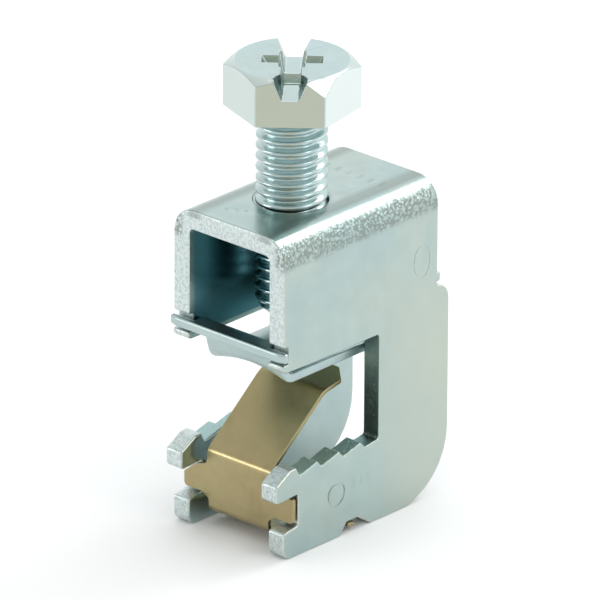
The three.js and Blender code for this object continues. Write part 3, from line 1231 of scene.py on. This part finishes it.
@dataclass
class ClampScrew:
    """The M8 screw: a helical thread and a hexagon head with a slot and a cross recess.

    The slot has half widths at its floor, at its top and at its flared ends. A blade of the
    recess has a half length, a half width and a depth in millimetres. Half a thread's profile
    is given in shares of the pitch and of the thread's depth.
    """

    axis_y: float
    head_top: float
    tip: float
    head_height: float = 5.4 * MM
    flats: float = 13.0 * MM
    pitch: float = 1.25 * MM
    crest: float = 3.92 * MM
    root: float = 3.30 * MM
    tip_chamfer: float = 0.9 * MM
    seam: float = 0.005 * MM
    top_flat: float = 6.2 * MM
    chamfer: float = math.radians(30)
    turn: float = math.radians(-49.7)
    slot_floor: float = 0.92 * MM
    slot_half: float = 1.15 * MM
    slot_flare: float = 1.9 * MM
    slot_depth: float = 2.35 * MM
    recess_blades: tuple[tuple[float, float, float], ...] = ((3.4, 1.1, 2.2), (1.5, 2.3, 3.4))
    knock: float = 1.9 * MM
    knock_slope: float = math.radians(57)
    corner_round: float = 0.12 * MM
    rim_round: float = 0.07 * MM
    steps_per_turn: int = 56
    half_profile: tuple[tuple[float, float], ...] = (
        (0.00, 0.00),
        (0.10, 0.10),
        (0.22, 0.45),
        (0.34, 0.86),
        (0.42, 1.00),
    )

    @property
    def head_low(self) -> float:
        """Height of the head's underside."""
        return self.head_top - self.head_height

    @property
    def corner(self) -> float:
        """Distance from the axis to a corner of the hexagon."""
        return self.flats / math.sqrt(3)

    @property
    def to_slot(self) -> Matrix:
        """Turn from the Y axis to the slot's direction."""
        return Matrix.Rotation(self.turn - math.pi / 2, 3, "Z")

    def shank(self) -> bpy.types.Object:
        """Spin one pitch of the thread's profile up the screw.

        Returns:
            The threaded shank.
        """
        bm = bmesh.new()
        start = self.tip - 2 * self.pitch
        turns = math.ceil((self.head_low + self.pitch - start) / self.pitch)
        mirrored = [(1.0 - along, out) for along, out in reversed(self.half_profile)]
        verts = []
        for along, out in (*self.half_profile, *mirrored):
            radius = self.root + (self.crest - self.root) * out
            verts.append(bm.verts.new((radius, 0.0, start + along * self.pitch)))
        edges = [bm.edges.new(pair) for pair in zip(verts, verts[1:])]
        bmesh.ops.spin(
            bm,
            geom=[*verts, *edges],
            cent=(0.0, 0.0, 0.0),
            axis=(0.0, 0.0, 1.0),
            dvec=(0.0, 0.0, self.pitch / self.steps_per_turn),
            angle=2 * math.pi * turns,
            steps=self.steps_per_turn * turns,
            use_merge=False,
        )
        bmesh.ops.remove_doubles(bm, verts=bm.verts, dist=self.seam)
        for height, side in ((self.tip, -1.0), (self.head_low + 0.4 * MM, 1.0)):
            sliced = bmesh.ops.bisect_plane(
                bm,
                geom=[*bm.verts, *bm.edges, *bm.faces],
                plane_co=(0.0, 0.0, height),
                plane_no=(0.0, 0.0, side),
                clear_outer=True,
            )
            rim = [item for item in sliced["geom_cut"] if isinstance(item, bmesh.types.BMEdge)]
            bmesh.ops.contextual_create(bm, geom=rim)
        low_radius = self.crest - self.tip_chamfer * 1.1
        for vert in bm.verts:
            rise = (vert.co.z - self.tip) / self.tip_chamfer
            limit = low_radius + (self.crest - low_radius) * min(1.0, max(0.0, rise))
            radius = vert.co.xy.length
            if radius > limit:
                vert.co.xy *= limit / radius
        bmesh.ops.recalc_face_normals(bm, faces=bm.faces)
        bmesh.ops.translate(bm, verts=bm.verts, vec=(0.0, self.axis_y, 0.0))
        return mesh_object("screw_thread", bm)

    def head(self) -> bpy.types.Object:
        """Cut the hexagon head from a prism.

        Returns:
            The head with its chamfer, slot and recess.
        """
        height = self.head_height
        bm = bmesh.new()
        bmesh.ops.create_cone(
            bm, cap_ends=True, segments=6, radius1=self.corner, radius2=self.corner, depth=height
        )
        round_edges(
            bm,
            self.corner_round,
            2,
            keep=lambda edge: edge.verts[0].co.z * edge.verts[1].co.z < 0,
        )
        bmesh.ops.rotate(bm, verts=bm.verts, matrix=Matrix.Rotation(self.turn, 3, "Z"))
        bmesh.ops.translate(bm, verts=bm.verts, vec=(0.0, 0.0, self.head_low + height / 2))
        head = mesh_object("screw_head", bm)
        cone = bmesh.new()
        reach = height * 2
        bmesh.ops.create_cone(
            cone,
            cap_ends=True,
            segments=128,
            radius1=self.top_flat + reach / math.tan(self.chamfer),
            radius2=self.top_flat,
            depth=reach,
        )
        bmesh.ops.translate(cone, verts=cone.verts, vec=(0.0, 0.0, self.head_top - reach / 2))
        cut(head, mesh_object("head_cone", cone), "INTERSECT")
        self.knock_corner(head)
        cut(head, self.slot_cutter())
        for length, width, depth in self.recess_blades:
            cut(head, self.recess_cutter(length * MM, width * MM, depth * MM))
        bm = bmesh.new()
        bm.from_mesh(head.data)
        bmesh.ops.remove_doubles(bm, verts=bm.verts, dist=SLIVER)
        bmesh.ops.dissolve_limit(
            bm, angle_limit=math.radians(0.5), verts=bm.verts, edges=bm.edges
        )
        round_edges(bm, self.rim_round, 2, sharper_than=math.radians(25))
        bmesh.ops.translate(bm, verts=bm.verts, vec=(0.0, self.axis_y, 0.0))
        bm.to_mesh(head.data)
        bm.free()
        head.data.shade_smooth()
        weigh_normals(head)
        return head

    def knock_corner(self, head: bpy.types.Object) -> None:
        """Flatten the front right corner, where the head was trimmed deeper.

        Args:
            head: The head, whose mesh changes.
        """
        direction = self.turn + math.pi / 6
        out = Vector((math.cos(direction), math.sin(direction), 0.0))
        slope = self.knock_slope
        corner = out * self.corner + Vector((0.0, 0.0, self.head_top - self.knock))
        bm = bmesh.new()
        bm.from_mesh(head.data)
        sliced = bmesh.ops.bisect_plane(
            bm,
            geom=[*bm.verts, *bm.edges, *bm.faces],
            plane_co=corner,
            plane_no=out * math.sin(slope) + Vector((0.0, 0.0, math.cos(slope))),
            clear_outer=True,
        )
        rim = [item for item in sliced["geom_cut"] if isinstance(item, bmesh.types.BMEdge)]
        bmesh.ops.contextual_create(bm, geom=rim)
        bmesh.ops.recalc_face_normals(bm, faces=bm.faces)
        bm.to_mesh(head.data)
        bm.free()

    def slot_cutter(self) -> bpy.types.Object:
        """Make the slot's cutter, which widens towards both ends of the slot.

        Returns:
            The cutter.
        """
        reach = self.flats
        # Distance along the slot and half width at its top.
        stations = (
            (-reach, self.slot_flare),
            (-6.2 * MM, 1.86 * MM),
            (-4.4 * MM, 1.55 * MM),
            (-2.2 * MM, self.slot_half),
            (4.4 * MM, self.slot_half),
            (5.0 * MM, 1.65 * MM),
            (5.5 * MM, self.slot_flare),
            (reach, self.slot_flare),
        )
        bm = bmesh.new()
        floor = self.head_top - self.slot_depth
        above = self.head_top + 0.1 * MM
        loops = []
        for along, half in stations:
            corners = filleted(
                (
                    (-half, above),
                    (-self.slot_floor, floor, 0.25 * MM),
                    (self.slot_floor, floor, 0.25 * MM),
                    (half, above),
                ),
                3,
            )
            verts = [bm.verts.new((p.x, along, p.y)) for p in corners]
            loop = [bm.edges.new((verts[i - 1], verts[i])) for i in range(len(verts))]
            loops.append(loop)
        for first, second in zip(loops, loops[1:]):
            bmesh.ops.bridge_loops(bm, edges=[*first, *second])
        for loop in (loops[0], loops[-1]):
            bmesh.ops.contextual_create(bm, geom=loop)
        bmesh.ops.recalc_face_normals(bm, faces=bm.faces)
        bmesh.ops.rotate(bm, verts=bm.verts, matrix=self.to_slot)
        return mesh_object("slot_cutter", bm)

    def recess_cutter(self, length: float, width: float, depth: float) -> bpy.types.Object:
        """Make one tapered blade of the cross recess.

        Args:
            length: Half length across the slot.
            width: Half width along the slot.
            depth: Depth below the top of the head.

        Returns:
            The cutter.
        """
        bm = bmesh.new()
        bmesh.ops.create_cone(
            bm,
            cap_ends=True,
            segments=4,
            radius1=math.sqrt(2) * 0.6,
            radius2=math.sqrt(2),
            depth=depth + 0.1 * MM,
        )
        bmesh.ops.rotate(bm, verts=bm.verts, matrix=Matrix.Rotation(math.pi / 4, 3, "Z"))
        bmesh.ops.scale(bm, verts=bm.verts, vec=(length, width, 1.0))
        bmesh.ops.rotate(bm, verts=bm.verts, matrix=self.to_slot)
        middle = self.head_top + 0.05 * MM - depth / 2
        bmesh.ops.translate(bm, verts=bm.verts, vec=(0.0, 0.0, middle))
        return mesh_object("recess_cutter", bm)

    def build(self) -> list[Piece]:
        """Make the head and the shank.

        Returns:
            Both pieces.
        """
        pieces = []
        for obj in (self.head(), self.shank()):
            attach(obj, Body.SCREW.value)
            pieces.append(Piece(obj, Body.SCREW, Slot.SCREW, ("clamp_screw",)))
        return pieces

    def dress(self, pieces: Sequence[Piece]) -> None:
        """Give the screw its zinc finish.

        Args:
            pieces: The head and the shank.
        """
        finish = ScrewZinc(
            "bright_zinc_screw",
            base=(0.46, 0.575, 0.575, 1.0),
            warm=(0.44, 0.45, 0.355, 1.0),
            warm_share=0.2,
            gloss=0.19,
            gloss_change=0.12,
        )
        material = finish.material(self.head_low, self.turn)
        for piece in pieces:
            piece.install(material)


@dataclass
class PressurePlate:
    """The bent plate under the screw, from the CAD shape with its edges rounded."""

    node: bpy.types.Object
    edge_round: float = 0.26 * MM

    def build(self) -> Piece:
        """Round the edges of the CAD shape.

        Returns:
            The plate.
        """
        bm = copy_of_node(self.node)
        round_edges(bm, self.edge_round)
        obj = mesh_object("pressure_plate_body", bm)
        weigh_normals(obj)
        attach(obj, Body.PLATE.value)
        return Piece(obj, Body.PLATE, Slot.PLATE, ("pressure_plate",))

    def dress(self, piece: Piece) -> None:
        """Give the plate its zinc finish.

        Args:
            piece: The plate.
        """
        finish = PlateZinc(
            "satin_zinc_plate",
            base=(0.43, 0.53, 0.53, 1.0),
            warm=(0.48, 0.54, 0.50, 1.0),
            warm_share=0.4,
            gloss=0.33,
            gloss_change=0.12,
        )
        piece.install(finish.material())


@dataclass
class StripPath:
    """The middle line of a bent strip in the Y-Z plane: straight runs joined by arcs."""

    corners: Sequence[Vector]
    radii: Sequence[float]
    runs: list[tuple[float, Vector, float, float]] = field(default_factory=list)
    length: float = 0.0

    def __post_init__(self) -> None:
        """Work out where each straight run and each arc starts."""
        here = self.corners[0].copy()
        for index in range(1, len(self.corners)):
            corner = self.corners[index]
            heading = (corner - self.corners[index - 1]).normalized()
            if index < len(self.corners) - 1:
                following = (self.corners[index + 1] - corner).normalized()
                turn = -heading.angle_signed(following)
                radius = self.radii[index - 1]
                tangent = radius * math.tan(abs(turn) / 2)
            else:
                turn, radius, tangent = 0.0, 0.0, 0.0
            straight = (corner - here).length - tangent
            angle = math.atan2(heading.y, heading.x)
            self.runs.append((self.length, here.copy(), angle, 0.0))
            self.length += straight
            here = here + heading * straight
            if turn:
                self.runs.append((self.length, here.copy(), angle, turn / (radius * abs(turn))))
                self.length += radius * abs(turn)
                here = corner + following * tangent

    def at(self, distance: float) -> tuple[Vector, Vector]:
        """Find a point of the path.

        Args:
            distance: Distance along the path.

        Returns:
            The point and the direction to its left.
        """
        reached = max(distance, 0.0)
        start, origin, angle, curl = next(run for run in reversed(self.runs) if run[0] <= reached)
        along = distance - start
        left = Vector((-math.sin(angle), math.cos(angle)))
        if curl:
            turned = angle + curl * along
            left_there = Vector((-math.sin(turned), math.cos(turned)))
            return origin + left / curl - left_there / curl, left_there
        return origin + Vector((math.cos(angle), math.sin(angle))) * along, left

    def bends(self, step: float) -> list[float]:
        """List distances where a flat strip is divided so that it can follow the arcs.

        Args:
            step: Largest turn between two of them.

        Returns:
            Distances along the path.
        """
        places: list[float] = []
        for index, (start, _, _, curl) in enumerate(self.runs):
            if not curl:
                continue
            end = self.runs[index + 1][0]
            count = max(2, round((end - start) * abs(curl) / step))
            places += [start + (end - start) * part / count for part in range(count + 1)]
        return places


@dataclass
class LeafSpring:
    """One strip of bronze: a blank with ears is cut flat, its rim rounded, then bent to shape.

    The joint's measures are not used; they say where the strip would start to bend with the leaf,
    from below the top of the held part, and over what height.
    """

    thickness: float = 0.5 * MM
    leaf_rise: float = math.radians(39)
    tip_rise: float = math.radians(10)
    leaf_length: float = 10.5 * MM
    tip_length: float = 4.6 * MM
    half_width: float = 4.65 * MM
    tab_half: float = 4.4 * MM
    ear_half: float = 8.0 * MM
    rear_ear_length: float = 1.15 * MM
    tip_half: float = 2.8 * MM
    tip_taper: float = 1.8 * MM
    bend_radii: tuple[float, float, float] = (0.65 * MM, 0.95 * MM, 2.6 * MM)
    foot_height: float = 1.6 * MM
    knee_slack: float = 0.1 * MM
    chord: float = math.radians(7)
    rim: float = 0.09 * MM
    joint_below: float = 0.4 * MM
    joint_reach: float = 1.1 * MM

    def path(self) -> StripPath:
        """Lay the middle line through the CAD pieces.

        Returns:
            The path from the rear ears to the tip of the leaf.
        """
        clip_low, clip_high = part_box("spring_clip")
        leaf_low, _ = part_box("spring_leaf")
        half = self.thickness / 2
        front = clip_low.y + half
        rear = Vector((clip_high.y, clip_low.z + half))
        low_corner = Vector((front, clip_low.z + self.foot_height))
        rise = Vector((math.cos(self.leaf_rise), math.sin(self.leaf_rise)))
        upper = Vector((leaf_low.y, leaf_low.z + self.thickness * math.cos(self.leaf_rise)))
        middle = upper + Vector((rise.y, -rise.x)) * half
        top_corner = middle - rise * ((middle.x - front) / rise.x)
        knee = middle + rise * (self.leaf_length - self.knee_slack)
        tip = knee + Vector((math.cos(self.tip_rise), math.sin(self.tip_rise))) * self.tip_length
        return StripPath((rear, low_corner, top_corner, knee, tip), self.bend_radii)

    def blank(self, path: StripPath) -> bmesh.types.BMesh:
        """Cut the flat blank, with X across and Y along the strip.

        Args:
            path: The middle line that the blank will follow.

        Returns:
            The blank, divided where it will bend.
        """
        plate_start, plate_origin = path.runs[2][0], path.runs[2][1]

        def height(z: float) -> float:
            """Distance along the strip of a height in millimetres on its upright front."""
            return plate_start + z * MM - plate_origin.y

        def side(sign: float, ear_top: float) -> list[tuple[float, float, float]]:
            """List the corners of one edge of the blank.

            Args:
                sign: 1 for the right edge, -1 for the left.
                ear_top: Height of the front ear's top, in millimetres.

            Returns:
                Corners with their radii, from the rear ear to the tip.
            """
            rounding = 0.3 * MM
            return [
                (sign * (self.ear_half - 0.1 * MM), 0.0, rounding),
                (sign * (self.ear_half - 0.1 * MM), self.rear_ear_length, rounding),
                (sign * self.tab_half, self.rear_ear_length, rounding),
                (sign * self.tab_half, height(3.2), 0.5 * MM),
                (sign * (self.tab_half + 1.0 * MM), height(3.8), rounding),
                (sign * self.ear_half, height(3.8), 0.5 * MM),
                (sign * self.ear_half, height(ear_top), rounding),
                (sign * 6.1 * MM, height(6.95), rounding),
                (sign * self.half_width, height(7.4), 0.5 * MM),
                (sign * self.half_width, path.length - self.tip_taper, 0.4 * MM),
                (sign * self.tip_half, path.length, 0.5 * MM),
            ]

        outline = filleted([*side(1.0, 6.7), *reversed(side(-1.0, 5.5))])
        bm = bmesh.new()
        bm.faces.new([bm.verts.new((p.x, p.y, 0.0)) for p in outline])
        for place in path.bends(self.chord):
            bmesh.ops.bisect_plane(
                bm,
                geom=[*bm.verts, *bm.edges, *bm.faces],
                plane_co=(0.0, place, 0.0),
                plane_no=(0.0, 1.0, 0.0),
            )
        raised = bmesh.ops.extrude_face_region(bm, geom=bm.faces[:])
        top = [item for item in raised["geom"] if isinstance(item, bmesh.types.BMVert)]
        bmesh.ops.translate(bm, verts=top, vec=(0.0, 0.0, self.thickness))
        bmesh.ops.recalc_face_normals(bm, faces=bm.faces)
        round_edges(
            bm,
            self.rim,
            2,
            keep=lambda edge: abs(edge.verts[0].co.z - edge.verts[1].co.z) < 0.01 * MM,
        )
        return bm

    def build(self) -> Piece:
        """Bend the blank along the path.

        Returns:
            The spring.
        """
        path = self.path()
        bm = self.blank(path)
        for vert in bm.verts:
            point, left = path.at(vert.co.y)
            spot = point + left * (vert.co.z - self.thickness / 2)
            vert.co = (vert.co.x, spot.x, spot.y)
        bmesh.ops.recalc_face_normals(bm, faces=bm.faces)
        obj = mesh_object("leaf_spring", bm)
        weigh_normals(obj)
        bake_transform(obj)
        return Piece(obj, Body.LEAF, Slot.SPRING, ("spring_clip", "spring_leaf"))

    def dress(self, piece: Piece) -> None:
        """Give the spring its bronze finish.

        Args:
            piece: The spring.
        """
        finish = SpringBronze(
            "spring_bronze_strip",
            base=(0.385, 0.32, 0.165, 1.0),
            warm=(0.37, 0.295, 0.15, 1.0),
            warm_share=0.7,
            gloss=0.29,
            gloss_change=0.14,
        )
        piece.install(finish.material())


# ---------------------------------------------------------------------------------------------
# Studio
# ---------------------------------------------------------------------------------------------


@dataclass(frozen=True)
class Softbox:
    """A rectangular light that faces the clamp."""

    name: str
    direction: tuple[float, float, float]
    distance: float
    size: tuple[float, float]
    watts: float

    def hang(self, aim: Vector) -> None:
        """Add the light to the scene.

        Args:
            aim: Point that the light faces.
        """
        data = bpy.data.lights.new(self.name, "AREA")
        data.shape = "RECTANGLE"
        data.size, data.size_y = self.size
        data.energy = self.watts
        light = bpy.data.objects.new(self.name, data)
        towards = Vector(self.direction)
        light.location = aim + towards.normalized() * self.distance
        light.rotation_euler = towards.to_track_quat("Z", "Y").to_euler()
        bpy.context.scene.collection.objects.link(light)


@dataclass
class Studio:
    """Pale floor, soft lights and the camera."""

    anchor: Vector
    azimuth: float = math.radians(42.14)
    elevation: float = math.radians(23.05)
    roll: float = math.radians(0.34)
    distance: float = 1.268
    shift_right: float = 0.91 * MM
    shift_up: float = -11.03 * MM
    lens_ratio: float = 11774 / 600
    sensor: float = 36.0
    floor_half: float = 1.5
    floor_tone: Colour = (0.93, 0.93, 0.93, 1.0)
    front_glow: Colour = (0.74, 0.75, 0.74, 1.0)
    back_glow: Colour = (1.14, 1.17, 1.18, 1.0)
    lights: tuple[Softbox, ...] = (
        Softbox("back_softbox", (0.12, 0.68, 0.71), 0.6, (0.15, 0.22), 0.65),
        Softbox("right_softbox", (0.86, 0.08, 0.62), 0.6, (0.2, 0.2), 0.35),
        Softbox("front_softbox", (-0.62, -0.70, 0.24), 0.6, (0.3, 0.09), 0.55),
        Softbox("top_softbox", (-0.1, 0.07, 1.0), 0.8, (0.24, 0.24), 0.45),
    )

    def camera(self) -> None:
        """Place the camera, looking at the clamp from its front right."""
        a, e, r = self.azimuth, self.elevation, self.roll
        back = Vector((math.sin(a) * math.cos(e), -math.cos(a) * math.cos(e), math.sin(e)))
        level = Vector((math.cos(a), math.sin(a), 0.0))
        upright = back.cross(level)
        right = level * math.cos(r) + upright * math.sin(r)
        up = upright * math.cos(r) - level * math.sin(r)
        data = bpy.data.cameras.new("camera")
        data.sensor_width = self.sensor
        data.lens = self.lens_ratio * self.sensor
        data.clip_start, data.clip_end = 0.01, 10.0
        camera = bpy.data.objects.new("camera", data)
        aim = self.anchor + right * self.shift_right + up * self.shift_up
        place = aim + back * self.distance
        turn = Matrix((right, up, back)).transposed().to_4x4()
        camera.matrix_world = Matrix.Translation(place) @ turn
        bpy.context.scene.collection.objects.link(camera)
        bpy.context.scene.camera = camera

    def floor(self) -> None:
        """Lay the pale floor."""
        bm = bmesh.new()
        bmesh.ops.create_grid(bm, x_segments=2, y_segments=2, size=self.floor_half)
        floor = mesh_object("floor", bm)
        material = bpy.data.materials.new("pale_floor")
        material.use_nodes = True
        shader = material.node_tree.nodes["Principled BSDF"]
        shader.inputs["Base Color"].default_value = self.floor_tone
        shader.inputs["Roughness"].default_value = 0.9
        shader.inputs["Specular IOR Level"].default_value = 0.1
        floor.data.materials.append(material)

    def world(self) -> None:
        """Fill the room with soft light that grows from the front to the back."""
        world = bpy.data.worlds.new("studio")
        world.use_nodes = True
        bpy.context.scene.world = world
        net = NodeNet(world.node_tree)
        axes = net.split(net.add("ShaderNodeTexCoord").outputs["Generated"])
        color = net.mix(net.ramp(axes["Y"], -0.8, 0.75), self.front_glow, self.back_glow)
        background = net.tree.nodes["Background"]
        net.link(color, background.inputs["Color"])
        background.inputs["Strength"].default_value = 1.0

    def build(self) -> None:
        """Set up the whole studio."""
        self.camera()
        self.floor()
        self.world()
        for light in self.lights:
            light.hang(Vector((0.0, 0.0, 0.02)))
        bpy.context.scene.view_settings.view_transform = "Standard"


# ---------------------------------------------------------------------------------------------
# Build
# ---------------------------------------------------------------------------------------------


def main() -> None:
    """Build the clamp piece by piece and set up the studio."""
    logging.basicConfig(level=logging.INFO, format="%(name)s %(message)s")
    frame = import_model()
    nodes = frame["nodes"]

    screw_low, screw_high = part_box("clamp_screw")
    _, bracket_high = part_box("bracket")
    axis_y = (screw_low.y + screw_high.y) / 2
    LOG.info("screw axis at y %.2f mm", axis_y / MM)

    Studio(Vector((0.0, axis_y, bracket_high.z))).build()

    bracket = Bracket(nodes["bracket"], Vector((0.0, axis_y, 0.0)))
    bracket.dress(bracket.build())
    screw = ClampScrew(axis_y=axis_y, head_top=screw_high.z, tip=screw_low.z)
    screw.dress(screw.build())
    plate = PressurePlate(nodes["pressure_plate"])
    plate.dress(plate.build())
    spring = LeafSpring()
    spring.dress(spring.build())


if __name__ == "__main__":
    main()
